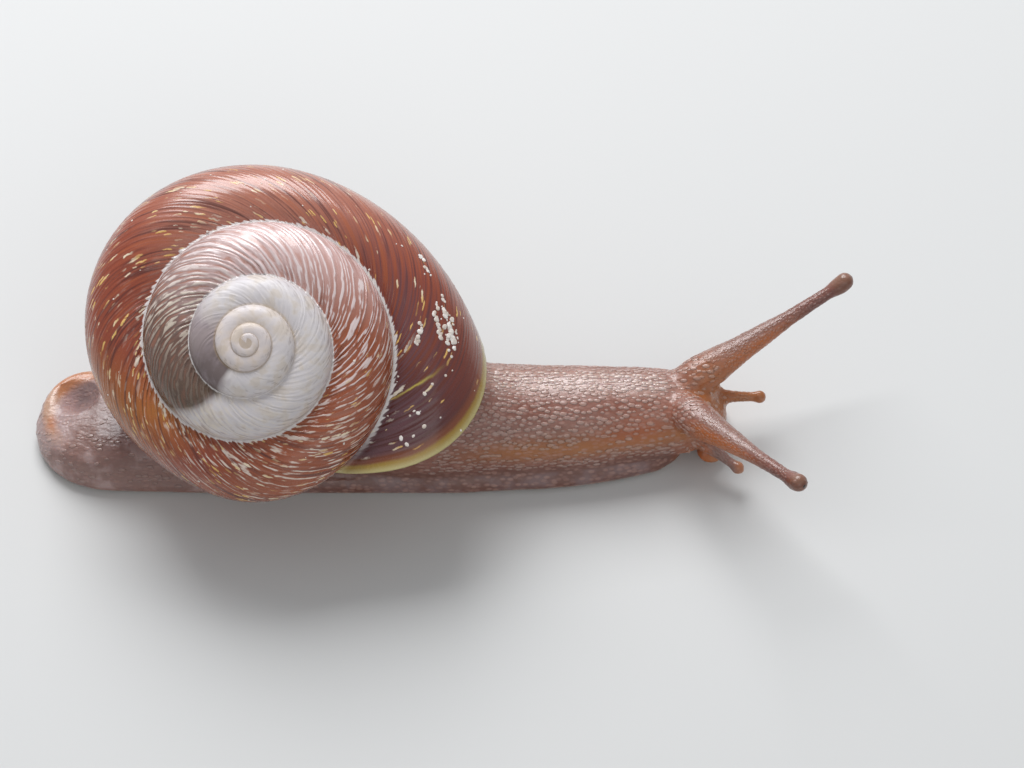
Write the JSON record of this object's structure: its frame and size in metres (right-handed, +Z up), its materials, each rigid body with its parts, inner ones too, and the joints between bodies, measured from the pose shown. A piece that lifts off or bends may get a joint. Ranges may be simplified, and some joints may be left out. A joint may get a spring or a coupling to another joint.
{
  "type": "land snail, life-size still model",
  "caption": "Life-size land snail crawling with its head and feelers stretched out, under a low, right-coiled reddish-brown shell, resting on its flat sole.",
  "frame": {"origin": "middle of the sole, on the floor that the snail crawls on", "axes": "+X towards the head, +Y to the snail's left, +Z up"},
  "size_m": [0.0615, 0.0242, 0.0199],
  "materials": {
    "shell": "wet, glossy reddish-brown shell with a pale worn spire",
    "mantle": "moist, smooth yellow-brown flesh",
    "skin": "moist, pinkish-brown granular skin",
    "foot": "moist, lilac-grey foot edge",
    "tentacles": "moist, maroon-brown feelers",
    "eyes": "glossy, near black"
  },
  "bodies": {
    "root": {"shell": "shell", "mantle_collar": "mantle", "head": "skin", "neck": "skin", "trunk": "skin", "tail": "skin", "tail_tip": "skin", "mouth_lobe_left": "skin", "mouth_lobe_right": "skin", "foot_front": "foot", "foot_middle": "foot", "foot_rear": "foot", "upper_tentacle_left_base": "tentacles", "upper_tentacle_left_shaft": "tentacles", "upper_tentacle_left_tip": "tentacles", "upper_tentacle_right_base": "tentacles", "upper_tentacle_right_shaft": "tentacles", "upper_tentacle_right_tip": "tentacles", "lower_tentacle_left": "tentacles", "lower_tentacle_right": "tentacles", "eye_left": "eyes", "eye_right": "eyes"}
  },
  "joints": []
}
